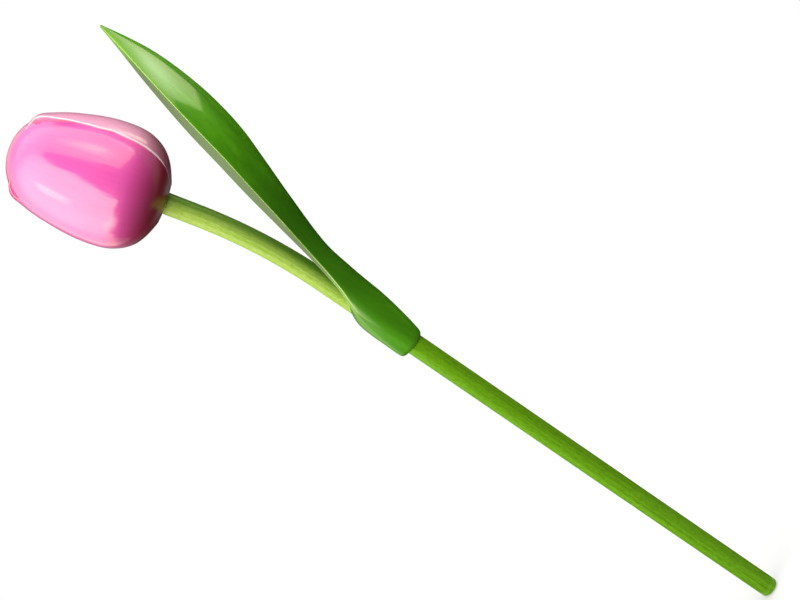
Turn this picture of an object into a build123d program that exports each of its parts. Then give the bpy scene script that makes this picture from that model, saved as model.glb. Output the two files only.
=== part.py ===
from build123d import *
import math
import os

# A carved and lacquered wooden tulip, standing upright on its stem's foot.
# The origin is the centre of the foot's end face and +Z runs up the straight stem.
# The leaf leans towards +X and -Y, and the neck bends the bloom towards -X.
# Lengths are in millimetres and angles in degrees.

# Stem: straight dowel, from the foot to the joint hidden in the leaf's sheath
stem_diameter = 8.0
stem_free_length = 177.5
stem_sheathed_length = 12.5
leaf_seat_diameter = 7.6
foot_chamfer = 0.6

# Neck: dowel of the same diameter, straight in the sheath and bent above it
neck_straight_length = 29.0
neck_bend_radius = 224.0
neck_bend_angle = 13.3
neck_end_length = 13.0
neck_peg_length = 24.0

# Joining pin: hidden in blind holes in the stem and the neck
pin_diameter = 3.0
pin_length = 24.0
pin_chamfer = 0.3

# Bloom: one turned block with three carved petals that overlap one way round
bloom_height = 57.2
bloom_diameter = 44.9
bloom_lean = 2.1
petal_step = 1.2
petal_half_angle = 73.0
petal_tip_setback = 2.4
first_petal_angle = -90.0
petal_count = 3

# Leaf: one carved piece, a sheath round the stem that runs out into a blade
sheath_length = 36.5
sheath_wall = 2.75
blade_length = 121.6
sheath_end_diameter = 9.2
sheath_end_ball_diameter = 18.0
blade_width = 20.0
blade_thickness = 5.0
blade_reach = 31.2
blade_setback = 20.0
blade_setback_angle = 127.9
leaf_angle = -40.0

# Clearances, and one overrun for every cut
glue_clearance = 0.05
pin_end_clearance = 0.4
leaf_clearance = 0.05
leaf_end_clearance = 0.3
overrun = 2.0

# Half of the bloom's outline, from the base to the tip: radius and height shares
bloom_outline_shares = (
    (0.36, 0.000),
    (0.64, 0.050),
    (0.89, 0.150),
    (1.00, 0.340),
    (0.95, 0.540),
    (0.82, 0.750),
    (0.68, 0.870),
    (0.46, 0.945),
)

# One petal seen from its front, from the base to the tip: half-width share of the
# bloom's radius, and height share
petal_outline_shares = (
    (0.62, -0.030),
    (0.95, 0.160),
    (1.03, 0.360),
    (0.98, 0.580),
    (0.84, 0.750),
    (0.60, 0.880),
    (0.34, 0.955),
    (0.00, 1.010),
)

# Sheath sections: height as a share of its length, width and depth as shares of its
# diameter, reach as a share of the blade's reach, and the front's and the back's bulge
# as shares of the half-width
sheath_shares = (
    (0.00, 0.75, -0.052, 0.90, 0.95, 0.95),
    (0.12, 0.84, -0.015, 0.97, 0.88, 0.88),
    (0.26, 0.93, 0.022, 1.03, 0.82, 0.84),
    (0.42, 1.01, 0.058, 1.09, 0.80, 0.84),
    (0.59, 1.06, 0.090, 1.09, 0.80, 0.84),
    (0.73, 1.07, 0.106, 0.92, 0.78, 0.66),
    (0.86, 1.01, 0.123, 0.61, 0.75, 0.30),
    (1.00, 0.92, 0.146, 0.40, 0.63, 0.06),
)

# Blade sections: the same, with height, width and depth as shares of the blade's sizes
blade_shares = (
    (0.11, 0.55, 0.215, 0.73, 0.39, -0.05),
    (0.28, 0.70, 0.436, 0.85, 0.22, -0.06),
    (0.40, 0.86, 0.606, 0.94, 0.16, -0.06),
    (0.51, 0.98, 0.763, 0.98, 0.14, -0.06),
    (0.63, 0.99, 0.878, 0.90, 0.12, -0.06),
    (0.74, 0.86, 0.955, 0.76, 0.12, -0.05),
    (0.84, 0.64, 1.000, 0.56, 0.12, -0.05),
    (0.92, 0.36, 1.010, 0.35, 0.13, -0.04),
    (1.00, 0.05, 1.000, 0.10, 0.15, -0.04),
)
blade_setback_start_share = 0.20
section_count = 30

stem_length = stem_free_length + stem_sheathed_length
blade_bottom_height = stem_free_length + sheath_length
stem_shoulder_height = stem_free_length - leaf_end_clearance
pin_hole_diameter = pin_diameter + 2 * glue_clearance
pin_hole_depth = pin_length / 2 + pin_end_clearance
leaf_bore_diameter = stem_diameter + 2 * leaf_clearance
leaf_seat_bore_diameter = leaf_seat_diameter + 2 * leaf_clearance
leaf_seat_bore_length = stem_sheathed_length - leaf_end_clearance
sheath_diameter = leaf_bore_diameter + 2 * sheath_wall
bloom_bore_diameter = stem_diameter + 2 * glue_clearance
bloom_bore_depth = neck_peg_length + pin_end_clearance
petal_spacing = 360 / petal_count
petal_offset = petal_step / (1 - math.cos(math.radians(petal_spacing)))


def rod(diameter, length):
    """A plain round rod standing on the origin."""
    return Cylinder(diameter / 2, length, align=(Align.CENTER, Align.CENTER, Align.MIN))


def end_edges(solid):
    """A rod's two round end edges, the lower one first."""
    return solid.edges().filter_by(GeomType.CIRCLE).sort_by(Axis.Z)


def make_stem():
    """The straight dowel, turned down where the leaf sits, with a blind hole for the pin."""
    dowel = rod(stem_diameter, stem_shoulder_height)
    dowel = chamfer(end_edges(dowel)[0], foot_chamfer)
    # The turned-down end starts an overrun above the foot, inside the full-width dowel
    dowel += Pos(0, 0, overrun) * rod(leaf_seat_diameter, stem_length - overrun)
    pin_hole = Pos(0, 0, stem_length - pin_hole_depth) * rod(pin_hole_diameter, pin_hole_depth + overrun)
    return dowel - pin_hole


def make_joining_pin():
    """The hidden pin, half in the stem and half in the neck."""
    pin = rod(pin_diameter, pin_length)
    pin = chamfer(end_edges(pin), pin_chamfer)
    return Pos(0, 0, stem_length - pin_length / 2) * pin


def neck_path():
    """The neck's centre line in the XZ plane: straight, an arc towards -X, and straight."""
    lower = Line((0, stem_length), (0, stem_length + neck_straight_length))
    bend = JernArc(lower @ 1, lower % 1, neck_bend_radius, neck_bend_angle)
    upper = Line(bend @ 1, (bend @ 1) + (bend % 1) * (neck_end_length + neck_peg_length))
    return Plane.XZ * (lower + bend + upper)


def bloom_seat():
    """The plane where the neck enters the bloom, square to the neck's last straight."""
    sine = math.sin(math.radians(neck_bend_angle))
    cosine = math.cos(math.radians(neck_bend_angle))
    across = neck_bend_radius * (1 - cosine) + neck_end_length * sine
    up = neck_bend_radius * sine + neck_end_length * cosine
    seat = (-across, 0, stem_length + neck_straight_length + up)
    return Plane(origin=seat, x_dir=(cosine, 0, sine), z_dir=(-sine, 0, cosine))


def make_neck():
    """The bent dowel, with a blind hole for the pin in its lower end."""
    start = Plane.XY.offset(stem_length) * Circle(stem_diameter / 2)
    dowel = sweep(start, path=neck_path())
    pin_hole = Pos(0, 0, stem_length - overrun) * rod(pin_hole_diameter, pin_hole_depth + overrun)
    return dowel - pin_hole


def turned_bloom(radius, height):
    """The bloom's egg shape, turned about Z and standing on the origin."""
    points = [(radius * across, height * up) for across, up in bloom_outline_shares]
    side = Spline([*points, (0, height)])
    outline = Line((0, 0), points[0]) + side + Line((0, height), (0, 0))
    return revolve(Plane.XZ * make_face(outline), Axis.Z)


def petal_cutter():
    """The space one petal may fill, facing +X: a wedge, with rounded tip and shoulders."""
    reach = bloom_diameter
    wedge_arc = CenterArc((0, 0), reach, -petal_half_angle, 2 * petal_half_angle)
    wedge = make_face(Line((0, 0), wedge_arc @ 0) + wedge_arc + Line(wedge_arc @ 1, (0, 0)))
    wedge = extrude(wedge, bloom_height + overrun)
    half = [(bloom_diameter / 2 * across, bloom_height * up) for across, up in petal_outline_shares]
    other_half = [(-across, up) for across, up in reversed(half[:-1])]
    side = Spline(half + other_half)
    outline = make_face(side + Line(other_half[-1], half[0]))
    front = Plane(origin=(petal_tip_setback, 0, 0), x_dir=(0, 1, 0), z_dir=(1, 0, 0))
    return wedge & extrude(front * outline, reach)


def make_bloom():
    """One block: a core, and three petals that each stand proud at one edge."""
    block = turned_bloom(bloom_diameter / 2 - petal_step, bloom_height - petal_step)
    cutter = petal_cutter()
    for index in range(petal_count):
        proud_edge = math.radians(-petal_half_angle)
        shift = Pos(petal_offset * math.cos(proud_edge), petal_offset * math.sin(proud_edge), 0)
        petal = (shift * turned_bloom(bloom_diameter / 2, bloom_height)) & cutter
        block += Rot(0, 0, first_petal_angle + index * petal_spacing) * petal
    block = bloom_seat().location * Rot(0, -bloom_lean, 0) * block
    bore = Pos(0, 0, -overrun) * rod(bloom_bore_diameter, bloom_bore_depth + overrun)
    return block - bloom_seat().location * bore


def blade_shift(height):
    """How far the blade has bent back at a height, away from the leaf's straight direction."""
    up_share = (height - blade_bottom_height) / blade_length
    bend_share = max(up_share - blade_setback_start_share, 0) / (1 - blade_setback_start_share)
    setback = blade_setback * bend_share**2
    angle = math.radians(blade_setback_angle)
    return setback * math.cos(angle), setback * math.sin(angle)


def leaf_section(height, half_width, front, depth, crown, hollow):
    """One level section, with x away from the stem: curved front and back, flat edges."""
    back = front - depth
    outer = front - crown * half_width
    inner = back + hollow * half_width
    back_arc = ThreePointArc((inner, -half_width), (back, 0), (inner, half_width))
    front_arc = ThreePointArc((outer, half_width), (front, 0), (outer, -half_width))
    outline = back_arc + Line(back_arc @ 1, front_arc @ 0) + front_arc + Line(front_arc @ 1, back_arc @ 0)
    return Pos(*blade_shift(height), height) * make_face(outline)


def leaf_rows():
    """The leaf's chosen sections in real sizes, from the sheath's bottom to the tip."""
    rows = []
    for up, width, reach, depth, crown, hollow in sheath_shares:
        front = sheath_diameter / 2 + reach * blade_reach
        height = stem_free_length + up * sheath_length
        rows.append((height, width * sheath_diameter / 2, front, depth * sheath_diameter, crown, hollow))
    for up, width, reach, depth, crown, hollow in blade_shares:
        front = sheath_diameter / 2 + reach * blade_reach
        height = blade_bottom_height + up * blade_length
        rows.append((height, width * blade_width / 2, front, depth * blade_thickness, crown, hollow))
    return rows


def row_slope(rows, index, column):
    """How fast a column changes with height at one row, from the rows beside it."""
    below = rows[max(index - 1, 0)]
    above = rows[min(index + 1, len(rows) - 1)]
    return (above[column] - below[column]) / (above[0] - below[0])


def row_between(rows, height):
    """A section's sizes at any height, on smooth curves through the chosen rows."""
    upper = next(index for index in range(1, len(rows)) if rows[index][0] >= height)
    lower = upper - 1
    span = rows[upper][0] - rows[lower][0]
    share = (height - rows[lower][0]) / span
    values = []
    for column in range(1, len(rows[0])):
        rise = rows[upper][column] - rows[lower][column]
        start = row_slope(rows, lower, column) * span
        end = row_slope(rows, upper, column) * span
        curve = (3 * rise - 2 * start - end) * share**2 + (start + end - 2 * rise) * share**3
        values.append(rows[lower][column] + start * share + curve)
    return values


def leaf_sections():
    """Level sections, evenly spaced from the sheath's bottom to the blade's tip."""
    rows = leaf_rows()
    step = (sheath_length + blade_length) / (section_count - 1)
    heights = [stem_free_length + index * step for index in range(section_count - 1)]
    heights.append(rows[-1][0])
    return [leaf_section(height, *row_between(rows, height)) for height in heights]


def sheath_end_cutter():
    """What rounds the sheath's lower end: a block with a ball's lower half taken out of it."""
    _, _, front, depth, _, _ = leaf_rows()[0]
    ball_height = math.sqrt(sheath_end_ball_diameter**2 - sheath_end_diameter**2) / 2
    block = Pos(0, 0, -overrun) * rod(sheath_end_ball_diameter + 2 * overrun, ball_height + overrun)
    ball = Pos(0, 0, ball_height) * Sphere(sheath_end_ball_diameter / 2)
    return Pos(front - depth / 2, 0, stem_free_length) * (block - ball)


def leaf_bore():
    """The sheath's bore: narrow on the stem's turned-down end, and wider on the neck."""
    length = sheath_length + blade_length
    narrow = Pos(0, 0, stem_free_length - overrun) * rod(leaf_seat_bore_diameter, length)
    wide = Pos(0, 0, stem_free_length + leaf_seat_bore_length) * rod(leaf_bore_diameter, length)
    return narrow + wide


def make_leaf():
    """The sheath and blade in one piece, held between the stem's shoulder and the neck."""
    leaf = loft(leaf_sections()) - sheath_end_cutter()
    return Rot(0, 0, leaf_angle) * (leaf - leaf_bore())


pieces = {
    "stem": make_stem(),
    "joining_pin": make_joining_pin(),
    "neck": make_neck(),
    "bloom": make_bloom(),
    "leaf": make_leaf(),
}

os.makedirs("parts", exist_ok=True)
for name, piece in pieces.items():
    export_step(piece, f"parts/{name}.step")
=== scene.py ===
import bpy
import math
import numpy as np
from mathutils import Matrix, Vector


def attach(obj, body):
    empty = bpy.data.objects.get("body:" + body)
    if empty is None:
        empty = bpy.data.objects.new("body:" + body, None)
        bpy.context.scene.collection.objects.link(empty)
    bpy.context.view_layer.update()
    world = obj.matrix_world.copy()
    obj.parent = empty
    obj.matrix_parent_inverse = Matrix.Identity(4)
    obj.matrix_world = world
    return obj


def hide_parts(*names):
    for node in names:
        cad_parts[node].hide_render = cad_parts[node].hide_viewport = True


# A lacquered wooden tulip in the CAD model's frame: metres, +Z up the stem, the leaf
# towards +X and -Y, the bloom towards -X. The object's sizes below are in millimetres.

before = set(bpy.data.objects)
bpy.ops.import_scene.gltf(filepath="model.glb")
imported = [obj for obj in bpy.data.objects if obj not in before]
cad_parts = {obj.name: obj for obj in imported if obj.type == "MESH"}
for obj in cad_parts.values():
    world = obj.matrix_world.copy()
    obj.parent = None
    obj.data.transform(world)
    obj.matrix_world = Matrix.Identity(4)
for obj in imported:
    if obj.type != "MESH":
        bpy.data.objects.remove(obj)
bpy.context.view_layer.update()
MM = 0.001

# ---------------------------------------------------------------- sizes from the CAD
STEM_RADIUS = 4.0
STEM_END = 190.0
NECK_STRAIGHT = 29.0
NECK_BEND_RADIUS = 224.0
NECK_BEND = math.radians(13.3)
NECK_END_LENGTH = 13.0
NECK_PEG = 20.0
NECK_TO_BLOOM = NECK_STRAIGHT + NECK_BEND_RADIUS * NECK_BEND + NECK_END_LENGTH
BLOOM_LEAN = math.radians(2.1)
BLOOM_HEIGHT = 57.2
SHEATH_BOTTOM = 177.5
SHEATH_LENGTH = 36.5
SHEATH_TOP = SHEATH_BOTTOM + SHEATH_LENGTH
SHEATH_DIAMETER = 13.6
BLADE_LENGTH = 121.6
BLADE_HALF_WIDTH = 10.0
BLADE_THICKNESS = 5.0
BLADE_REACH = 31.2
LEAF_ANGLE = math.radians(-40)
BLADE_SETBACK = 20.0
BLADE_SETBACK_START = 0.20
BLADE_SETBACK_ANGLE = math.radians(87.9)


# ---------------------------------------------------------------- numbers and curves
def ease(low, high, value):
    """0 below low, 1 above high and smooth between."""
    share = np.clip((value - low) / (high - low), 0, 1)
    return share * share * (3 - 2 * share)


def circle(count):
    """Evenly spaced angles once round."""
    return np.linspace(0, 2 * math.pi, count, endpoint=False)


def facing(azimuth, elevation):
    """A direction from the tulip; azimuth 0 is in front of it, 90 at +X."""
    a, e = math.radians(azimuth), math.radians(elevation)
    return np.array([math.sin(a) * math.cos(e), -math.cos(a) * math.cos(e), math.sin(e)])


def smooth_curve(points, count):
    """Points on a natural cubic spline through the given points."""
    p = np.array(points, float)
    t = np.concatenate([[0], np.cumsum(np.linalg.norm(np.diff(p, axis=0), axis=1))])
    h = np.diff(t)
    system, right = np.eye(len(p)), np.zeros_like(p)
    for i in range(1, len(p) - 1):
        system[i, i - 1:i + 2] = h[i - 1], 2 * (h[i - 1] + h[i]), h[i]
        right[i] = 6 * ((p[i + 1] - p[i]) / h[i] - (p[i] - p[i - 1]) / h[i - 1])
    bend = np.linalg.solve(system, right)
    at = np.linspace(0, t[-1], count)
    k = np.clip(np.searchsorted(t, at, side="right") - 1, 0, len(h) - 1)
    a, b = (t[k + 1] - at)[:, None], (at - t[k])[:, None]
    hk = h[k][:, None]
    cubes = (bend[k] * a**3 + bend[k + 1] * b**3) / (6 * hk)
    return cubes + (p[k] / hk - bend[k] * hk / 6) * a + (p[k + 1] / hk - bend[k + 1] * hk / 6) * b


# ---------------------------------------------------------------- mesh helpers
def add_object(name, data):
    """A new object in the scene."""
    thing = bpy.data.objects.new(name, data)
    bpy.context.scene.collection.objects.link(thing)
    return thing


def add_mesh(name, points, faces, material):
    """A new mesh object from points in metres."""
    mesh = bpy.data.meshes.new(name)
    mesh.from_pydata(np.asarray(points, float).tolist(), [], faces)
    mesh.materials.append(material)
    return add_object(name, mesh)


def shade_smooth(mesh, sharp_from):
    """Smooth faces, with edges kept sharp where they turn by more than so many degrees."""
    for polygon in mesh.polygons:
        polygon.use_smooth = True
    mesh.set_sharp_from_angle(angle=math.radians(sharp_from))


def new_piece(name, points, faces, body, material, sharp_from=40):
    """A mesh piece from points in millimetres, riding on a CAD body."""
    piece = add_mesh(name, np.asarray(points, float) * MM, faces, material)
    piece.data.validate()
    piece.data.update()
    shade_smooth(piece.data, sharp_from)
    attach(piece, body)
    return piece


def store(piece, name, values, kind="FLOAT"):
    """Keeps a number or a vector for every point of a piece, for its material to read."""
    attribute = piece.data.attributes.new(name, kind, "POINT")
    field = "vector" if kind == "FLOAT_VECTOR" else "value"
    attribute.data.foreach_set(field, np.asarray(values, np.float32).ravel())


def ring_faces(rows, columns, start=0):
    """Quads between rows of points that each close into a ring."""
    faces = []
    for row in range(rows - 1):
        low = start + row * columns
        high = low + columns
        for column in range(columns):
            right = (column + 1) % columns
            faces.append((low + column, low + right, high + right, high + column))
    return faces


def capped_faces(rows, columns):
    """Quads between rings of points, with a flat cap on the first and the last ring."""
    last = (rows - 1) * columns
    return ring_faces(rows, columns) + [
        tuple(range(columns - 1, -1, -1)), tuple(range(last, last + columns))]


def fan_faces(start, columns, middle, flip=False):
    """Triangles from a ring of points to one point in its middle."""
    pairs = [(start + column, start + (column + 1) % columns) for column in range(columns)]
    return [(*(pair[::-1] if flip else pair), middle) for pair in pairs]


# ---------------------------------------------------------------- materials
class NodeTree:
    """Short calls that add nodes to the tree of a material or the world."""

    def __init__(self, owner):
        owner.use_nodes = True
        self.nodes, self.links = owner.node_tree.nodes, owner.node_tree.links

    def feed(self, socket, value):
        """Links a socket to another node's output, or sets its own value."""
        if isinstance(value, bpy.types.NodeSocket):
            self.links.new(value, socket)
        else:
            socket.default_value = value

    def add(self, kind, output, inputs, **settings):
        """One output of a new node."""
        node = self.nodes.new("ShaderNode" + kind)
        for name, value in settings.items():
            setattr(node, name, value)
        for name, value in inputs.items():
            self.feed(node.inputs[name], value)
        return node.outputs[output]

    def seen_as_background(self):
        """1 where a ray from the camera, a reflection or a refraction looks at the backdrop."""
        seen = self.add("LightPath", "Is Camera Ray", {})
        rays = seen.node.outputs
        for name in ("Is Glossy Ray", "Is Transmission Ray"):
            seen = self.add("Math", 0, {0: seen, 1: rays[name]}, operation="MAXIMUM")
        return seen


class Paint(NodeTree):
    """A new material with a Principled shader."""

    def __init__(self, name):
        self.material = bpy.data.materials.new(name)
        super().__init__(self.material)

    def set(self, inputs):
        """Sets or links inputs of the shader."""
        for name, value in inputs.items():
            self.feed(self.nodes["Principled BSDF"].inputs[name], value)

    def read(self, name, output="Fac"):
        """A number or a vector that is stored on the mesh."""
        return self.add("Attribute", output, {}, attribute_name=name)

    def noise(self, vector, scale, detail, rough, along):
        """Noise with its third axis, along the grain, stretched to a share of the scale."""
        placed = self.add("Mapping", "Vector", {"Vector": vector, "Scale": (1, 1, along)})
        return self.add("TexNoise", "Fac", {
            "Vector": placed, "Scale": scale, "Detail": detail, "Roughness": rough})

    def ramp(self, value, stops):
        """A colour ramp with stops of (place, colour)."""
        colour = self.add("ValToRGB", "Color", {"Fac": value})
        elements = colour.node.color_ramp.elements
        while len(elements) < len(stops):
            elements.new(0.5)
        for element, (place, stop) in zip(elements, stops):
            element.position = place
            element.color = stop
        return colour

    def mix(self, factor, first, second):
        """The second colour mixed into the first."""
        return self.add("Mix", 2, {0: factor, 6: first, 7: second}, data_type="RGBA")

    def layers(self, colour, *coats):
        """A colour with others laid over it, each where its mask is high."""
        for mask, over in coats:
            colour = self.mix(mask, colour, over)
        return colour

    def spread(self, value, source, target):
        """A value's range mapped smoothly to another range."""
        return self.add("MapRange", "Result", {
            "Value": value, "From Min": source[0], "From Max": source[1],
            "To Min": target[0], "To Max": target[1]}, interpolation_type="SMOOTHSTEP")

    def bump(self, height, distance, strength, under=None):
        """A bump node, set on top of another one if given."""
        inputs = {"Height": height, "Distance": distance, "Strength": strength}
        if under is not None:
            inputs["Normal"] = under
        return self.add("Bump", "Normal", inputs)


def srgb(red, green, blue):
    """A colour as seen on a screen, 0 to 255, as the linear colour that the shader takes."""
    shares = [channel / 255 for channel in (red, green, blue)]
    return (*(s / 12.92 if s <= 0.04045 else ((s + 0.055) / 1.055) ** 2.4 for s in shares), 1.0)


def dowel_material(name, pale, middle, dark, fleck_and_shade, side_shade):
    """Stained dowel under clear lacquer: streaks along the grain, dark flecks, fine grit, and
    painted shade on its +X side.
    """
    paint = Paint(name)
    grain = paint.read("grain", "Vector")
    broad = paint.noise(grain, scale=0.55, detail=3, rough=0.6, along=0.02)
    fine = paint.noise(grain, scale=2.2, detail=5, rough=0.65, along=0.015)
    flecks = paint.noise(grain, scale=3.2, detail=2, rough=0.5, along=0.07)
    grit = paint.noise(grain, scale=2.0, detail=3, rough=0.7, along=0.25)
    broad_streaks = paint.ramp(broad, [(0.3, dark), (0.5, middle), (0.7, pale)])
    fine_streaks = paint.ramp(fine, [(0.32, dark), (0.52, middle), (0.68, pale)])
    paint.set({
        "Base Color": paint.layers(
            broad_streaks,
            (0.45, fine_streaks),
            (paint.spread(flecks, (0.69, 0.76), (0, 0.75)), fleck_and_shade),
            (paint.spread(grit, (0.52, 0.66), (0, 0.6)), dark),
            (paint.spread(grit, (0.48, 0.34), (0, 0.6)), pale),
            # Painted shade: the +X side darkened with the fleck colour
            (paint.spread(paint.read("side_shade"), (0, 1), (0, side_shade)), fleck_and_shade)),
        "Roughness": paint.spread(fine, (0.3, 0.7), (0.32, 0.46)),
        "Specular IOR Level": 0.15,
        "Normal": paint.bump(fine, distance=0.00012, strength=0.5),
        "Coat Weight": 0.05,
        "Coat Roughness": 0.15,
    })
    return paint.material


def bloom_material(name, body, shade, edge, base, rim):
    """Brushed paint under clear lacquer, deeper at the last edge as painted shade, darker and
    browner towards the base as its own colour and painted shade, and pale at the rim as a painted
    highlight.
    """
    paint = Paint(name)
    grain, height = paint.read("grain", "Vector"), paint.read("height")
    cloud = paint.noise(grain, scale=2.0, detail=3, rough=0.5, along=0.5)
    strokes = paint.noise(grain, scale=26.0, detail=4, rough=0.6, along=0.035)
    peel = paint.noise(grain, scale=5.0, detail=2, rough=0.5, along=0.6)
    brush = paint.noise(grain, scale=9.0, detail=3, rough=0.6, along=0.06)
    marks = paint.bump(strokes, distance=0.0001, strength=0.35)
    paint.set({
        "Base Color": paint.layers(
            body,
            (paint.spread(cloud, (0.35, 0.7), (0, 0.35)), shade),
            (paint.spread(strokes, (0.46, 0.7), (0, 0.42)), shade),
            # Painted shade: deeper pink along the last edge, under the next petal's raised rim
            (paint.read("edge"), edge),
            # Darker and browner towards the base: partly a browner base colour, partly painted
            # shade where the bloom turns away from the light
            (paint.spread(height, (0.34, 0.02), (0, 1)), base),
            # Painted highlight: lighter colour on the rims, where the raised edges catch the
            # light
            (paint.read("rim"), rim)),
        "Roughness": 0.32,
        "Specular IOR Level": 0.4,
        "Normal": paint.bump(peel, distance=0.0006, strength=0.12, under=marks),
        "Coat Weight": paint.spread(height, (0.02, 0.14), (0.45, 1)),
        "Coat Roughness": 0.045,
        "Coat Normal": paint.bump(brush, distance=0.00022, strength=0.5),
    })
    return paint.material


def leaf_material():
    """Deep green paint under clear lacquer, duller on the sheath, darker and greyer on the narrow
    sides as painted shade and painted reflection, and pale on sharp edges as wear and a painted
    highlight.
    """
    paint = Paint("leaf_paint")
    grain = paint.read("grain", "Vector")
    broad = paint.noise(grain, scale=0.16, detail=3, rough=0.6, along=0.12)
    fine = paint.noise(grain, scale=1.5, detail=5, rough=0.6, along=0.03)
    specks = paint.noise(grain, scale=1.1, detail=2, rough=0.5, along=0.5)
    paint.set({
        "Base Color": paint.layers(
            paint.ramp(broad, [
                (0.25, srgb(66, 132, 8)), (0.5, srgb(77, 151, 10)), (0.75, srgb(92, 172, 16))]),
            (paint.spread(fine, (0.45, 0.75), (0, 0.25)), srgb(52, 112, 14)),
            (paint.spread(specks, (0.74, 0.8), (0, 0.5)), srgb(36, 78, 14)),
            (paint.spread(paint.read("low"), (0, 1), (0, 0.72)), srgb(46, 100, 8)),
            # Painted shade and painted grey reflection: darker, greyer green on the narrow sides
            (paint.read("side"), srgb(36, 72, 34)),
            # Pale along the arrises: wear and a painted highlight
            (paint.read("arris"), srgb(146, 194, 72))),
        "Roughness": 0.33,
        "Specular IOR Level": 0.3,
        "Normal": paint.bump(fine, distance=0.0001, strength=0.35),
        "Coat Weight": paint.spread(paint.read("dull"), (0, 1), (1, 0.38)),
        "Coat Roughness": 0.05,
    })
    return paint.material


STEM_PAINT = dowel_material(
    "stem_lacquer", pale=srgb(121, 182, 20), middle=srgb(103, 160, 13), dark=srgb(79, 130, 10),
    fleck_and_shade=srgb(46, 80, 8), side_shade=0.2)
# The neck's stronger painted shade stands for the leaf's shadow across it
NECK_PAINT = dowel_material(
    "neck_lacquer", pale=srgb(190, 210, 114), middle=srgb(166, 197, 76),
    dark=srgb(134, 175, 46), fleck_and_shade=srgb(72, 116, 26), side_shade=0.85)
PINK_PAINT = bloom_material(
    "bloom_paint", body=srgb(255, 98, 190), shade=srgb(252, 82, 176), edge=srgb(246, 70, 158),
    base=srgb(136, 24, 38), rim=srgb(255, 112, 140))
PALE_PAINT = bloom_material(
    "pale_petal_paint", body=srgb(252, 174, 206), shade=srgb(240, 154, 192),
    edge=srgb(240, 154, 192), base=srgb(192, 88, 128), rim=srgb(255, 226, 236))
LEAF_PAINT = leaf_material()


# ---------------------------------------------------------------- stem and neck
DOWEL_SIDES = 96
STEM_ROWS, NECK_ROWS, FOOT_ROWS = 90, 110, 7
FOOT_EDGE, FOOT_FACE, SHAFT_START = 0.8, 1.6, 2


def tube(name, centres, radii, directions, material):
    """A closed round tube; keeps its straightened place as grain, and its +X side as painted
    shade.
    """
    centres, directions = np.array(centres, float), np.array(directions, float)
    steps = np.linalg.norm(np.diff(centres, axis=0), axis=1)
    along = np.concatenate([[0], np.cumsum(steps)])[:, None]
    sides = np.stack([directions[:, 2], np.zeros(len(centres)), -directions[:, 0]], 1)
    turns = circle(DOWEL_SIDES)
    u, v = np.outer(radii, np.cos(turns)), np.outer(radii, np.sin(turns))
    points = centres[:, None] + u[..., None] * sides[:, None] + v[..., None] * (0, 1, 0)
    grain = np.stack(np.broadcast_arrays(u, v, along), -1).reshape(-1, 3)
    faces = capped_faces(len(centres), DOWEL_SIDES)
    piece = new_piece(name, points.reshape(-1, 3), faces, "flower", material)
    store(piece, "grain", grain, "FLOAT_VECTOR")
    # Painted shade: darker towards the +X side, where the leaf's shadow falls
    store(piece, "side_shade", ease(-0.15, 1.0, grain[:, 0] / STEM_RADIUS))
    return piece


def make_stem():
    """The straight dowel, its foot's edge rounded."""
    turns = np.linspace(math.pi / 2, 0, FOOT_ROWS)
    foot = [(FOOT_EDGE * (1 - math.sin(t)), STEM_RADIUS - FOOT_EDGE * (1 - math.cos(t)))
            for t in turns]
    shaft = [(z, STEM_RADIUS) for z in np.linspace(SHAFT_START, STEM_END, STEM_ROWS)]
    rows = [(0.0, FOOT_FACE), *foot, *shaft]
    piece = tube("stem_dowel", [(0, 0, z) for z, _ in rows], [r for _, r in rows],
                 [(0, 0, 1)] * len(rows), STEM_PAINT)
    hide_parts("stem")


def neck_point(along):
    """The neck's centre and direction, that far along it from the stem's end."""
    if along <= NECK_STRAIGHT:
        return (0, 0, STEM_END + along), (0, 0, 1)
    turn = min((along - NECK_STRAIGHT) / NECK_BEND_RADIUS, NECK_BEND)
    rest = max(along - NECK_STRAIGHT - NECK_BEND_RADIUS * NECK_BEND, 0)
    x = -NECK_BEND_RADIUS * (1 - math.cos(turn)) - rest * math.sin(turn)
    z = STEM_END + NECK_STRAIGHT + NECK_BEND_RADIUS * math.sin(turn) + rest * math.cos(turn)
    return (x, 0, z), (-math.sin(turn), 0, math.cos(turn))


def make_neck():
    """The bent dowel, from the stem's end into the bloom."""
    lengths = np.linspace(0, NECK_TO_BLOOM + NECK_PEG, NECK_ROWS)
    places = [neck_point(along) for along in lengths]
    piece = tube("neck_dowel", [p for p, _ in places], [STEM_RADIUS] * len(places),
                 [d for _, d in places], NECK_PAINT)
    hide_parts("neck")


# ---------------------------------------------------------------- leaf
# Sections as shares: height, width, reach, depth, front bulge and back bulge
SHEATH_SHARES = (
    (0.00, 0.75, -0.052, 0.90, 0.95, 0.95), (0.12, 0.84, -0.015, 0.97, 0.88, 0.88),
    (0.26, 0.93, 0.022, 1.03, 0.93, 0.86), (0.42, 1.01, 0.058, 1.09, 0.94, 0.86),
    (0.59, 1.06, 0.090, 1.09, 0.93, 0.86), (0.73, 1.07, 0.106, 0.92, 0.88, 0.66),
    (0.86, 1.01, 0.123, 0.61, 0.75, 0.30), (1.00, 0.92, 0.146, 0.40, 0.63, 0.06),
)
BLADE_SHARES = (
    (0.11, 0.55, 0.215, 0.73, 0.39, -0.05), (0.28, 0.70, 0.436, 0.85, 0.22, -0.06),
    (0.40, 0.86, 0.606, 0.94, 0.16, -0.06), (0.51, 0.98, 0.763, 0.98, 0.14, -0.06),
    (0.63, 0.99, 0.878, 0.90, 0.12, -0.06), (0.74, 0.86, 0.955, 0.76, 0.12, -0.05),
    (0.84, 0.64, 1.000, 0.56, 0.12, -0.05), (0.92, 0.36, 1.010, 0.35, 0.13, -0.04),
    (1.00, 0.05, 1.000, 0.10, 0.15, -0.04),
)
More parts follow.
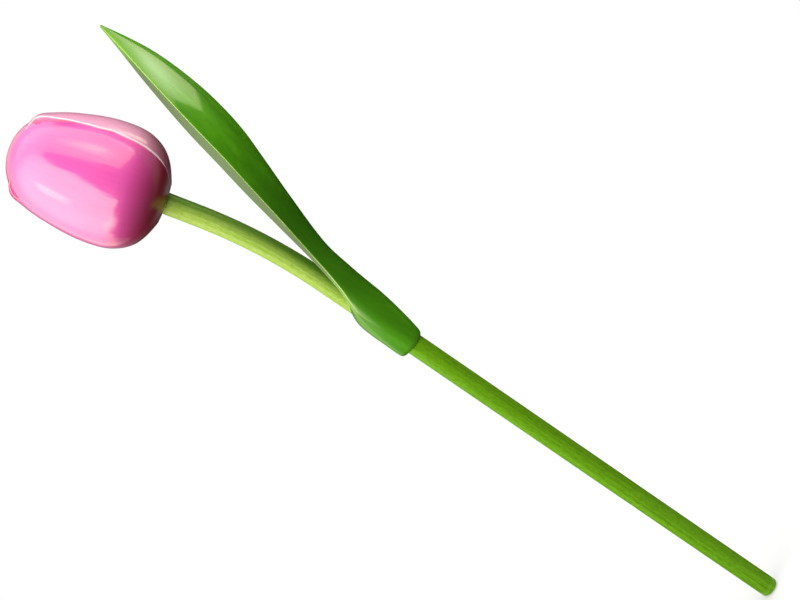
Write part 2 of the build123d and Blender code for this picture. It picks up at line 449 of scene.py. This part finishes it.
# Rounding of the long edges on the blade and the sheath, and of the sheath's lower end
ARRIS, SHEATH_ARRIS = 0.3, 1.2
SHEATH_END_ROUNDING, SHEATH_END_INSET, SHEATH_END_ROWS = 1.8, 1.4, 10
# Even rows up to some way below the tip, the last rows' depths below it, and its point
LEAF_ROWS, EVEN_ROWS_END = 300, 1.5
TIP_ROWS = np.array([1.1, 0.7, 0.35, 0.0])
TIP_POINT = 0.2
# The least bulge of an arc, and the most that a corner takes of an arc and of a section
LEAST_BULGE, MOST_OF_ARC, MOST_OF_SECTION = 1e-4, 0.4, 0.3
LEAF_SHARP_FROM = 50
SHEATH_DULLNESS = 0.8
# Points across the front, the back and each flat side, and round each corner
FRONT_POINTS, BACK_POINTS, SIDE_POINTS, CORNER_POINTS = 45, 33, 5, 6
# How pale each corner point is painted: wear and a painted highlight along the arris
CORNER_WEAR_AND_HIGHLIGHT = np.array([0.3, 1, 1, 1, 1, 0.3])
# The stem's bore: radius, and height above the sheath's lower end
BORE_PROFILE = (
    (4.55, -3), (4.55, 0.0), (4.45, 0.5), (4.3, 1.2), (4.15, 2.2), (4.06, 3.6), (4.06, 150))
BORE_SIDES = 128


def leaf_rows():
    """The chosen sections in millimetres: height, half-width, front, depth, crown, hollow."""
    parts = (
        (SHEATH_SHARES, SHEATH_BOTTOM, SHEATH_LENGTH, SHEATH_DIAMETER / 2, SHEATH_DIAMETER),
        (BLADE_SHARES, SHEATH_TOP, BLADE_LENGTH, BLADE_HALF_WIDTH, BLADE_THICKNESS),
    )
    return np.array([
        (start + up * length, width * half_width, SHEATH_DIAMETER / 2 + reach * BLADE_REACH,
         depth * thickness, crown, hollow)
        for shares, start, length, half_width, thickness in parts
        for up, width, reach, depth, crown, hollow in shares])


def row_between(rows, height):
    """A section's sizes at any height, on smooth curves through the chosen rows."""
    heights = rows[:, 0]
    upper = int(np.clip(np.searchsorted(heights, height), 1, len(rows) - 1))
    lower = upper - 1
    span = heights[upper] - heights[lower]
    share = (height - heights[lower]) / span

    def slope(index):
        below, above = max(index - 1, 0), min(index + 1, len(rows) - 1)
        return (rows[above] - rows[below]) / (heights[above] - heights[below]) * span

    rise = rows[upper] - rows[lower]
    start, end = slope(lower), slope(upper)
    curve = (3 * rise - 2 * start - end) * share**2 + (start + end - 2 * rise) * share**3
    return (rows[lower] + start * share + curve)[1:]


def arc(end_x, half_width, bulge, count, trim):
    """An arc across the leaf from +half_width to -half_width, trimmed at both ends."""
    bulge = bulge if abs(bulge) > LEAST_BULGE else LEAST_BULGE
    radius = (half_width**2 + bulge**2) / (2 * bulge)
    half_angle = 2 * math.atan(bulge / half_width)
    cut = min(trim / abs(radius), MOST_OF_ARC * abs(half_angle))
    limit = math.copysign(abs(half_angle) - cut, half_angle)
    turns = np.linspace(limit, -limit, count)
    return np.stack([end_x + bulge - radius + radius * np.cos(turns), radius * np.sin(turns)], 1)


def corner(before, at, after):
    """A rounded corner between two points."""
    t = np.linspace(0, 1, CORNER_POINTS + 2)[1:-1, None]
    return (1 - t) ** 2 * before + 2 * t * (1 - t) * at + t**2 * after


def leaf_outline(half_width, front, depth, crown, hollow, rounding):
    """One level section with rounded corners; how much each point is on a corner or a side."""
    outer, inner = front - crown * half_width, front - depth + hollow * half_width
    trim = min(rounding, MOST_OF_SECTION * (outer - inner), MOST_OF_SECTION * half_width)
    front_arc = arc(outer, half_width, crown * half_width, FRONT_POINTS, trim)
    back_arc = arc(inner, half_width, -hollow * half_width, BACK_POINTS, trim)[::-1]
    sides = []
    for side in (1, -1):
        top, bottom = np.array([outer, side * half_width]), np.array([inner, side * half_width])
        flat = np.linspace(top - (trim, 0), bottom + (trim, 0), SIDE_POINTS)
        sides.append((top, bottom, flat))
    (top_a, bottom_a, flat_a), (top_b, bottom_b, flat_b) = sides
    parts = [
        (front_arc, 0, 0),
        (corner(front_arc[-1], top_b, flat_b[0]), CORNER_WEAR_AND_HIGHLIGHT, 0),
        (flat_b, 0, 1),
        (corner(flat_b[-1], bottom_b, back_arc[0]), CORNER_WEAR_AND_HIGHLIGHT, 1),
        (back_arc, 0, 0),
        (corner(back_arc[-1], bottom_a, flat_a[-1]), CORNER_WEAR_AND_HIGHLIGHT, 1),
        (flat_a[::-1], 0, 1),
        (corner(flat_a[0], top_a, front_arc[0]), CORNER_WEAR_AND_HIGHLIGHT, 0),
    ]
    wear_and_highlight, side = (np.concatenate([part[k] + np.zeros(len(part[0])) for part in parts])
                  for k in (1, 2))
    return np.concatenate([part[0] for part in parts]), wear_and_highlight, side


def blade_share(height):
    """0 at the blade's root, where the sheath ends, and 1 at its tip."""
    return (height - SHEATH_TOP) / BLADE_LENGTH


def leaf_sections():
    """Level sections from the sheath's lower end to the tip: height, outline and its marks."""
    rows = leaf_rows()
    tip = rows[-1, 0]
    sections = []
    for turn in np.linspace(0, math.pi / 2, SHEATH_END_ROWS + 1)[:-1]:
        height = SHEATH_BOTTOM + SHEATH_END_ROUNDING * (1 - math.cos(turn))
        outline, wear_and_highlight, side = leaf_outline(*row_between(rows, height), SHEATH_ARRIS)
        middle = outline.mean(0)
        reach = np.linalg.norm(outline - middle, axis=1, keepdims=True)
        inset = SHEATH_END_INSET * (1 - math.sin(turn))
        outline = middle + (outline - middle) * (1 - inset / reach)
        sections.append((height, outline, 0 * wear_and_highlight, 0 * side))
    start = SHEATH_BOTTOM + SHEATH_END_ROUNDING
    heights = np.linspace(start, tip - EVEN_ROWS_END, LEAF_ROWS)
    for height in (*heights, *(tip - TIP_ROWS)):
        share = blade_share(height)
        rounding = SHEATH_ARRIS + (ARRIS - SHEATH_ARRIS) * ease(-0.15, 0.0, share)
        outline, wear_and_highlight, side = leaf_outline(*row_between(rows, height), rounding)
        side = side * ease(-0.05, 0.1, share) * (1 - 0.7 * ease(0.8, 0.97, share))
        sections.append((height, outline, wear_and_highlight * ease(-0.16, 0.02, share), side))
    return (np.array(column) for column in zip(*sections))


def make_leaf():
    """The sheath and blade in one carved piece, its bore not yet cut."""
    heights, outlines, wear_and_highlight, side = leaf_sections()
    rows, columns = wear_and_highlight.shape
    cosine, sine = math.cos(LEAF_ANGLE), math.sin(LEAF_ANGLE)
    bent = np.maximum(blade_share(heights) - BLADE_SETBACK_START, 0) / (1 - BLADE_SETBACK_START)
    back = np.array([math.cos(BLADE_SETBACK_ANGLE), math.sin(BLADE_SETBACK_ANGLE)])
    placed = outlines @ np.array([[cosine, sine], [-sine, cosine]])
    placed = placed + (BLADE_SETBACK * bent**2)[:, None, None] * back
    ends = np.array([heights[0], heights[-1] + TIP_POINT])
    levels = np.concatenate([np.repeat(heights, columns), ends])[:, None]
    points, grain = (
        np.hstack([np.vstack([flat.reshape(-1, 2), flat[[0, -1]].mean(1)]), levels])
        for flat in (placed, outlines))
    count = rows * columns
    faces = ring_faces(rows, columns) + fan_faces(0, columns, count, flip=True)
    faces += fan_faces(count - columns, columns, count + 1)
    piece = new_piece("leaf_carved", points, faces, "leaf", LEAF_PAINT, LEAF_SHARP_FROM)
    wear_and_highlight, side = (np.concatenate([marks.ravel(), [0, 0]]) for marks in (wear_and_highlight, side))
    share = blade_share(grain[:, 2])
    store(piece, "grain", grain, "FLOAT_VECTOR")
    # Pale arrises: wear and a painted highlight
    store(piece, "arris", wear_and_highlight)
    # Where the narrow sides carry painted shade and a painted grey reflection
    store(piece, "side", side)
    store(piece, "dull", np.maximum(side, SHEATH_DULLNESS * (1 - ease(-0.12, 0.02, share))))
    store(piece, "low", (0.35 + 0.65 * ease(-0.25, 0.1, share)) * (1 - ease(0.2, 0.56, share)))
    return piece


def cut_bore(piece):
    """The bore for the stem, widening at the sheath's lower end."""
    points = [(r * math.cos(a), r * math.sin(a), SHEATH_BOTTOM + z)
              for r, z in BORE_PROFILE for a in circle(BORE_SIDES)]
    faces = capped_faces(len(BORE_PROFILE), BORE_SIDES)
    cutter = new_piece("bore_cutter", points, faces, "leaf", LEAF_PAINT)
    modifier = piece.modifiers.new("bore", "BOOLEAN")
    modifier.operation = "DIFFERENCE"
    modifier.solver = "EXACT"
    modifier.object = cutter
    evaluated = piece.evaluated_get(bpy.context.evaluated_depsgraph_get())
    mesh = bpy.data.meshes.new_from_object(evaluated)
    piece.modifiers.clear()
    piece.data = mesh
    shade_smooth(mesh, LEAF_SHARP_FROM)
    bpy.data.objects.remove(cutter)


# ---------------------------------------------------------------- bloom
# Height share and radius of the bloom's round outline
BLOOM_PROFILE = (
    (0.00, 8.1), (0.02, 11.0), (0.05, 14.4), (0.10, 18.0), (0.15, 20.2), (0.22, 21.9),
    (0.32, 22.6), (0.42, 22.45), (0.52, 21.7), (0.62, 20.5), (0.72, 19.0), (0.80, 17.3),
    (0.87, 15.0), (0.93, 11.7), (0.97, 8.0), (0.993, 3.9), (1.00, 0.0),
)
# Petal outlines: degrees round the bloom from the petal's middle, and height share
FRONT_OUTLINE = (
    (-75, 0.004), (-70, 0.03), (-68, 0.15), (-67, 0.26), (-66, 0.40), (-66, 0.50),
    (-67, 0.60), (-68, 0.70), (-67, 0.78), (-65, 0.83), (-65, 0.87), (-74, 0.905),
    (-95, 0.93), (-125, 0.962), (-152, 0.982), (180, 0.989), (150, 0.98), (115, 0.955),
    (85, 0.93), (62, 0.905), (51, 0.875), (51, 0.84), (54, 0.80), (58, 0.76), (64, 0.68),
    (70, 0.58), (72, 0.45), (72, 0.30), (70, 0.15), (70, 0.03), (75, 0.004), (0, 0.001),
)
PALE_OUTLINE = (
    (-78, 0.004), (-74, 0.03), (-71, 0.13), (-71, 0.19), (-70, 0.24), (-69, 0.32),
    (-66, 0.42), (-66, 0.51), (-64, 0.58), (-61, 0.69), (-59, 0.77), (-55, 0.82),
    (-52, 0.865), (-52, 0.895), (-66, 0.925), (-95, 0.95), (-135, 0.97), (180, 0.975),
    (135, 0.97), (95, 0.95), (66, 0.92), (54, 0.88), (54, 0.84), (56, 0.80), (60, 0.72),
    (66, 0.62), (72, 0.45), (72, 0.30), (70, 0.15), (70, 0.03), (75, 0.004), (0, 0.001),
)
# Name, degrees round the bloom, outline, where the tip begins, how far the tip and the
# shoulder below it stand out, how far the last edge does, and paint
PETALS = (
    ("petal_front", 0, FRONT_OUTLINE, 0.70, -0.6, 0.0, -0.5, PINK_PAINT),
    ("petal_pale", 120, PALE_OUTLINE, 0.86, -1.5, 0.45, -0.5, PALE_PAINT),
    ("petal_far", 240, PALE_OUTLINE, 0.86, -1.6, 0.75, -0.05, PINK_PAINT),
)
MIDDLE_SHARE = 0.45
# How far a petal's first edge and its base stand out from the round outline
PROUD, BASE_OFFSET = 0.40, 0.45
# Where it sinks to its last edge, as the sine of the turn from its middle
SINK_FROM, SINK_TO = -0.92, 0.70
# Where it rises from its base, as height shares, and its tip ends and its shoulder lies,
# as the sine of the elevation from the bloom's middle
RISE_FROM, RISE_TO, TIP_END, SHOULDER_UP, SHOULDER_WIDTH = 0.06, 0.20, 0.995, 0.85, 0.06
# LIP_HIGHLIGHT is the strength of the painted highlight along a petal's lip
PETAL_DEPTH, PETAL_REACH, RIM, LIP_HIGHLIGHT = 2.2, 27, 0.27, 0.5
FACE_RINGS, RIM_RINGS, BLOOM_SHARP_FROM = 48, 7, 60
# A petal's outline is read at so many turns and blurred over its neighbours
OUTLINE_STEPS, BLUR_REACH, BLUR_WIDTH = 480, 9, 2.2
# The core's depth below the round outline at its base, what is added above it, and its mesh
CORE_SINK_LOW, CORE_SINK_MORE = 0.25, 1.25
CORE_ROWS, CORE_SIDES, CORE_START, CORE_END = 160, 192, 0.02, math.radians(171)

LEAN = NECK_BEND + BLOOM_LEAN
UP = np.array([-math.sin(LEAN), 0, math.cos(LEAN)])
SIDE = np.array([math.cos(LEAN), 0, math.sin(LEAN)])
FRONT = np.array([0.0, -1.0, 0.0])
MIDDLE_HEIGHT = MIDDLE_SHARE * BLOOM_HEIGHT
BLOOM_MIDDLE = np.array(neck_point(NECK_TO_BLOOM)[0]) + MIDDLE_HEIGHT * UP
PROFILE = smooth_curve([(r, h * BLOOM_HEIGHT) for h, r in BLOOM_PROFILE], 3000)[::-1]
PROFILE_ANGLE = np.arctan2(PROFILE[:, 0], PROFILE[:, 1] - MIDDLE_HEIGHT)
PROFILE_REACH = np.hypot(PROFILE[:, 0], PROFILE[:, 1] - MIDDLE_HEIGHT)


def egg_reach(cosine_up):
    """The distance from the bloom's middle to its round outline, along a direction."""
    return np.interp(np.arccos(np.clip(cosine_up, -1, 1)), PROFILE_ANGLE, PROFILE_REACH)


def bloom_grain(around, height):
    """Places for the paint's noise: round the bloom, and up it by its height share."""
    return np.stack([np.cos(around), np.sin(around), height * 3], 1)


def outline_directions(outline):
    """A petal's outline about its middle direction: turns, and angles away from it."""
    degrees, heights = np.array(outline).T
    radii = np.interp(heights, *zip(*BLOOM_PROFILE))
    across = np.radians(degrees)
    up = (heights - MIDDLE_SHARE) * BLOOM_HEIGHT
    side, out = radii * np.sin(across), radii * np.cos(across)
    turn = np.arctan2(up, side)
    away = np.arccos(out / np.sqrt(side**2 + out**2 + up**2))
    order = np.argsort(turn)
    turns = np.concatenate([turn[order] + lap * 2 * math.pi for lap in (-1, 0, 1)])
    fine = np.linspace(-math.pi, math.pi, OUTLINE_STEPS, endpoint=False)
    values = np.interp(fine, turns, np.tile(away[order], 3))
    kernel = np.exp(-0.5 * (np.arange(-BLUR_REACH, BLUR_REACH + 1) / BLUR_WIDTH) ** 2)
    padded = np.concatenate([values[-BLUR_REACH:], values, values[:BLUR_REACH]])
    return fine, np.convolve(padded, kernel / kernel.sum(), mode="valid")


def petal_rows():
    """Rings of a petal: share of the way to its outline, depth below its face, painted rim
    highlight.
    """
    face = 1 - RIM / PETAL_REACH
    shares = 1 - (1 - np.linspace(0, 1, FACE_RINGS + 2)[1:-1]) ** 1.4
    rows = [(share * face, 0.0, 0.0) for share in shares]
    # The rim rings carry the painted highlight, and so does the top of the wall
    for bend in np.linspace(0, math.pi / 2, RIM_RINGS):
        rows.append((face + (1 - face) * math.sin(bend), RIM * (1 - math.cos(bend)), 1.0))
    rows += [(1.0, 0.45, 0.9), (1.0, 0.6, 0.0)]
    rows += [(1.0, depth, 0.0) for depth in (1.0, 1.5, PETAL_DEPTH)]
    rows += [(share, PETAL_DEPTH, 0.0) for share in (0.9, 0.6, 0.3)]
    return np.array(rows)


def make_petal(name, degrees, outline, tip_start, tip_lift, shoulder_lift, last_edge, material):
    """A closed, rounded shell: proud at its first edge and sunk at its last one."""
    middle = math.radians(degrees)
    out = math.sin(middle) * SIDE + math.cos(middle) * FRONT
    along = math.cos(middle) * SIDE - math.sin(middle) * FRONT
    rows = petal_rows()
    turns, away = outline_directions(outline)
    columns = len(turns)
    share, depth, rim = np.vstack([
        (0, 0, 0), np.repeat(rows, columns, axis=0), (0, PETAL_DEPTH, 0)]).T
    turn, away = (np.concatenate([[0], np.tile(values, len(rows)), [0]])[:, None]
                  for values in (turns, away))
    angle = share[:, None] * away
    direction = np.cos(angle) * out + np.sin(angle) * (np.cos(turn) * along + np.sin(turn) * UP)
    up, side = direction @ UP, direction @ along
    reach = egg_reach(up)
    height = MIDDLE_SHARE + reach * up / BLOOM_HEIGHT
    offset = PROUD + (last_edge - PROUD) * ease(SINK_FROM, SINK_TO, side)
    tip = ease(tip_start, TIP_END, up)
    shoulder = np.exp(-((up - SHOULDER_UP) / SHOULDER_WIDTH) ** 2)
    offset = offset * (1 - tip) + tip_lift * tip + shoulder_lift * shoulder
    rise = ease(RISE_FROM, RISE_TO, height)
    offset = offset * rise + BASE_OFFSET * (1 - rise)
    points = BLOOM_MIDDLE + (reach + offset - depth)[:, None] * direction
    around = np.arctan2(direction @ SIDE, direction @ FRONT)
    # Painted highlight also along the lip just inside the outline
    rim = np.maximum(rim, LIP_HIGHLIGHT * ease(0.978, 0.99, share) * (depth < RIM))
    last = len(points) - 1
    quads = ring_faces(len(rows), columns, start=1)
    faces = fan_faces(1, columns, 0, flip=True) + [quad[::-1] for quad in quads]
    faces += fan_faces(last - columns, columns, last)
    piece = new_piece(name, points, faces, "flower", material, BLOOM_SHARP_FROM)
    store(piece, "grain", bloom_grain(around, height), "FLOAT_VECTOR")
    # The painted rim highlight, faded out on the pink petals' lower part
    store(piece, "rim", rim * ease(0.05, 0.3, height) if material == PINK_PAINT else rim)
    store(piece, "height", height)
    # Painted shade near the sunk last edge
    store(piece, "edge", ease(0.80, 0.93, share) * ease(0.45, 0.7, side))


def make_core():
    """The block under the petals: it shows in the gaps at the tip and at the base."""
    down, around = (grid.reshape(-1, 1) for grid in np.meshgrid(
        np.linspace(CORE_START, CORE_END, CORE_ROWS), circle(CORE_SIDES), indexing="ij"))
    flat = np.sin(around) * SIDE + np.cos(around) * FRONT
    direction = np.cos(down) * UP + np.sin(down) * flat
    reach = egg_reach(np.cos(down))
    share = MIDDLE_SHARE + reach * np.cos(down) / BLOOM_HEIGHT
    sink = CORE_SINK_LOW + CORE_SINK_MORE * ease(0.05, 0.16, share)
    points = BLOOM_MIDDLE + (reach - sink) * direction
    faces = capped_faces(CORE_ROWS, CORE_SIDES)
    piece = new_piece("bloom_core", points, faces, "flower", PINK_PAINT, BLOOM_SHARP_FROM)
    store(piece, "grain", bloom_grain(around[:, 0], share[:, 0]), "FLOAT_VECTOR")
    store(piece, "rim", np.zeros(len(points)))
    store(piece, "height", share)
    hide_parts("bloom")


def dress_pin():
    """Bare wood on the hidden pin, which keeps its CAD shape."""
    wood = Paint("bare_wood")
    place = wood.add("TexCoord", "Object", {})
    rings = wood.noise(place, scale=900, detail=4, rough=0.6, along=0.05)
    browns = wood.ramp(rings, [(0.3, srgb(176, 138, 92)), (0.7, srgb(216, 184, 136))])
    wood.set({"Base Color": browns, "Roughness": 0.6})
    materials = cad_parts["joining_pin"].data.materials
    materials.clear()
    materials.append(wood.material)


make_stem()
make_neck()
leaf = make_leaf()
cut_bore(leaf)
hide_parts("leaf")
make_core()
for petal in PETALS:
    make_petal(*petal)
dress_pin()


# ---------------------------------------------------------------- camera, light, floor
CAMERA_PLACE = (0.010451, -0.544051, 0.311942)
CAMERA_DOWN, CAMERA_ROLL = math.radians(12.5), math.radians(55.325)
CAMERA_SENSOR, CAMERA_LENS, CAMERA_FAR = 36, 67.5, 20
LAMP_TARGET = Vector((0.0, 0.0, 0.27))
# Name, azimuth, elevation, distance, width, height and power
LAMPS = (
    ("left_softbox", -50, 25, 0.9, 1.2, 0.8, 7.8),
    ("low_left_fill", -95, -12, 0.9, 0.9, 0.7, 5.0),
    ("right_softbox", 45, 35, 0.9, 0.9, 0.7, 5.8),
    ("top_softbox", 120, 62, 0.9, 0.8, 0.8, 7),
    ("back_fill", 180, 20, 1.2, 1.2, 1.0, 3),
)
WORLD_LIGHT = 0.16
FLOOR_RADIUS, FLOOR_DEPTH, FLOOR_SIDES = 0.17, 0.0005, 96
# The floor reflects about half of its white and glows with the rest, more at its rim
FLOOR_WHITE, FLOOR_GLOW, FLOOR_GLOW_START = 0.45, (0.42, 0.5), 0.02


def add_camera():
    """The photograph's camera."""
    data = bpy.data.cameras.new("camera")
    data.sensor_width, data.lens, data.clip_end = CAMERA_SENSOR, CAMERA_LENS, CAMERA_FAR
    camera = add_object("camera", data)
    camera.location = CAMERA_PLACE
    tilt = Matrix.Rotation(math.pi / 2 - CAMERA_DOWN, 4, "X")
    camera.rotation_euler = (tilt @ Matrix.Rotation(-CAMERA_ROLL, 4, "Z")).to_euler()
    bpy.context.scene.camera = camera


def add_lamp(name, azimuth, elevation, distance, width, height, power):
    """A soft area lamp aimed at the tulip, which reflections don't show."""
    data = bpy.data.lights.new(name, "AREA")
    data.shape = "RECTANGLE"
    data.size, data.size_y = width, height
    data.energy = power
    lamp = add_object(name, data)
    direction = Vector(facing(azimuth, elevation))
    lamp.location = LAMP_TARGET + distance * direction
    lamp.rotation_euler = direction.to_track_quat("Z", "Y").to_euler()
    lamp.visible_camera = lamp.visible_glossy = False


def light_world():
    """A white backdrop that lights the tulip only faintly."""
    world = bpy.data.worlds.new("world")
    bpy.context.scene.world = world
    tree = NodeTree(world)
    strength = tree.add("MapRange", "Result", {
        "Value": tree.seen_as_background(), "To Min": WORLD_LIGHT, "To Max": 1.0})
    background = tree.nodes["Background"]
    tree.feed(background.inputs["Color"], (1, 1, 1, 1))
    tree.feed(background.inputs["Strength"], strength)


def add_floor():
    """A plain white disc that keeps the tulip's shadow."""
    white = Paint("floor_white")
    place = white.add("TexCoord", "Object", {})
    distance = white.add("VectorMath", "Value", {0: place}, operation="LENGTH")
    glow = white.spread(distance, (FLOOR_GLOW_START, FLOOR_RADIUS), FLOOR_GLOW)
    seen = white.seen_as_background()
    white.set({
        "Base Color": (FLOOR_WHITE, FLOOR_WHITE, FLOOR_WHITE, 1),
        "Roughness": 0.9,
        "Emission Color": (1, 1, 1, 1),
        "Emission Strength": white.add("Math", 0, {0: glow, 1: seen}, operation="MULTIPLY"),
    })
    points = [(FLOOR_RADIUS * math.cos(a), FLOOR_RADIUS * math.sin(a), -FLOOR_DEPTH)
              for a in circle(FLOOR_SIDES)]
    floor = add_mesh("floor", points, [tuple(range(FLOOR_SIDES))], white.material)


# ---------------------------------------------------------------- tent for the reflections
TENT_RADIUS, TENT_RINGS, TENT_STEPS = 0.4, 280, 420
# Degrees from straight in front at which its walls start and end, and its lowest height
TENT_TILTS, TENT_FLOOR = (0.5, 166), 0.003
# Each softbox lies inside great circles, given by their normals, with a soft edge
LEFT_BORDERS, LEFT_SOFT = ((-0.971, 0.183, 0.156), (-0.731, -0.682, 0)), 0.055
LEFT_LOWER_SOFT, LEFT_DIMMED_BELOW = 0.04, 0.75
RIGHT_BORDERS, RIGHT_SOFT = (
    (0.776, 0.575, 0.257), (0.0, 0.14, 0.99), (-0.05, -0.96, 0.30)), 0.018
LEAF_BORDERS, LEAF_SOFT = (
    facing(166, 0), (0.380, -0.919, 0.105), (0.094, 0.578, 0.811), facing(95, -65),
    (0.168, -0.162, 0.972)), 0.016
TOP_MIDDLE = np.array([-0.203, 0.188, 0.961])
# The left softbox's lower edge: how far to the front, and the height there
LEFT_LOWER_EDGE = ((-0.46, -0.2, 0.1, 0.6, 0.85), (-0.74, -0.68, -0.45, -0.45, -0.33))
# Where the left softbox is brighter: strength, direction, and the fading's cosines
LEFT_SWELLS = ((4.4, facing(-42, 12), 0.2, 0.9), (0.4, facing(-125, -30), 0.45, 0.9))
# Bright spots: azimuth, elevation, width and height in degrees
BLOOM_LEFT_SPOT, SHEATH_SPOT = (-57, 17, 7, 10), (-62, -29, 15, 6)
BLOOM_RIGHT_SPOT, LEAF_SPOT = (55, 29, 7, 10), (92, 8, 15, 9)
REAR_SPOT, BACK_SPOT = (168, -40, 9, 13), (-152, -12, 14, 26)
# Strengths and tints
LEFT_LIGHT, RIGHT_LIGHT, LEAF_LIGHT, LEAF_CORE_LIGHT = 1.2, 2.4, 2.3, 3.4
TOP_LIGHT, TOP_LIGHT_IN_FRONT = 0.8, 1.7
BLOOM_SPOT_LIGHT, SHEATH_SPOT_LIGHT, REAR_LIGHT, BACK_LIGHT = 4.2, 5.2, 0.5, 0.3
LEFT_TINT, RIGHT_TINT, LEAF_TINT = (1, 0.98, 0.58), (1, 0.98, 0.36), (1, 0.98, 0.5)
LEAF_CORE_TINT, WHITE = (1, 0.98, 0.92), (1, 1, 1)


def inside(directions, borders, soft):
    """1 for directions within all of the great circles with these normals."""
    normals = [np.array(border) / np.linalg.norm(border) for border in borders]
    return np.prod([ease(-soft, soft, directions @ normal) for normal in normals], axis=0)


def spot(directions, azimuth, elevation, wide, high):
    """A soft bright spot, so many degrees wide and high."""
    centre = facing(azimuth, elevation)
    across = np.array([-centre[1], centre[0], 0]) / math.hypot(centre[0], centre[1])
    up = np.cross(across, centre)
    u, v = np.degrees(np.arcsin(directions @ across)), np.degrees(np.arcsin(directions @ up))
    return np.exp(-(u / wide) ** 2 - (v / high) ** 2) * (directions @ centre > 0)


def tent_glow(directions):
    """The tent's red, green and blue light in each direction from the bloom."""
    to_front, height = -directions[:, 1], directions[:, 2]
    left = inside(directions, LEFT_BORDERS, LEFT_SOFT)
    above = height - np.interp(to_front, *LEFT_LOWER_EDGE)
    left *= ease(-LEFT_LOWER_SOFT, LEFT_LOWER_SOFT, above)
    left *= 1 - LEFT_DIMMED_BELOW * ease(0.5, 0.66, -height)
    left *= LEFT_LIGHT + sum(strength * ease(low, high, directions @ middle)
                             for strength, middle, low, high in LEFT_SWELLS)
    left += BLOOM_SPOT_LIGHT * ease(0.1, 0.6, spot(directions, *BLOOM_LEFT_SPOT))
    left += SHEATH_SPOT_LIGHT * spot(directions, *SHEATH_SPOT)
    leaf_patch = inside(directions, LEAF_BORDERS, LEAF_SOFT)
    leaf_core = LEAF_CORE_LIGHT * leaf_patch * spot(directions, *LEAF_SPOT)
    right = RIGHT_LIGHT * inside(directions, RIGHT_BORDERS, RIGHT_SOFT) * (1 - leaf_patch)
    right += BLOOM_SPOT_LIGHT * spot(directions, *BLOOM_RIGHT_SPOT)
    top = ease(0.56, 0.62, directions @ TOP_MIDDLE)
    top *= TOP_LIGHT + TOP_LIGHT_IN_FRONT * ease(-0.5, 0.5, to_front)
    back = REAR_LIGHT * spot(directions, *REAR_SPOT) + BACK_LIGHT * spot(directions, *BACK_SPOT)
    lights, tints = (np.array(column) for column in zip(
        (left, LEFT_TINT), (right, RIGHT_TINT), (top, RIGHT_TINT),
        (LEAF_LIGHT * leaf_patch, LEAF_TINT), (back, WHITE)))
    return lights.max(0)[:, None] * tints[lights.argmax(0)] + leaf_core[:, None] * LEAF_CORE_TINT


def make_tent():
    """Dark studio walls with glowing softboxes, seen only in reflections, open at the back."""
    tilts = np.radians(np.linspace(*TENT_TILTS, TENT_RINGS))[:, None]
    turns = circle(TENT_STEPS)[None, :]
    directions = np.stack(np.broadcast_arrays(
        np.sin(tilts) * np.cos(turns), -np.cos(tilts), np.sin(tilts) * np.sin(turns)), -1)
    directions = directions.reshape(-1, 3)
    wall = BLOOM_MIDDLE * MM + TENT_RADIUS * directions
    wall[:, 2] = np.maximum(wall[:, 2], TENT_FLOOR)
    faces = ring_faces(TENT_RINGS, TENT_STEPS) + [tuple(range(TENT_STEPS))]
    paint = Paint("tent_wall")
    paint.set({
        "Base Color": (0, 0, 0, 1),
        "Roughness": 1.0,
        "Specular IOR Level": 0.0,
        "Emission Color": paint.read("glow", "Color"),
        "Emission Strength": 1,
    })
    tent = add_mesh("studio_tent", wall, faces, paint.material)
    store(tent, "glow", tent_glow(directions), "FLOAT_VECTOR")
    tent.visible_camera = tent.visible_diffuse = False
    tent.visible_transmission = tent.visible_shadow = False


add_camera()
for lamp in LAMPS:
    add_lamp(*lamp)
light_world()
add_floor()
make_tent()
bpy.context.scene.view_settings.view_transform = "Standard"
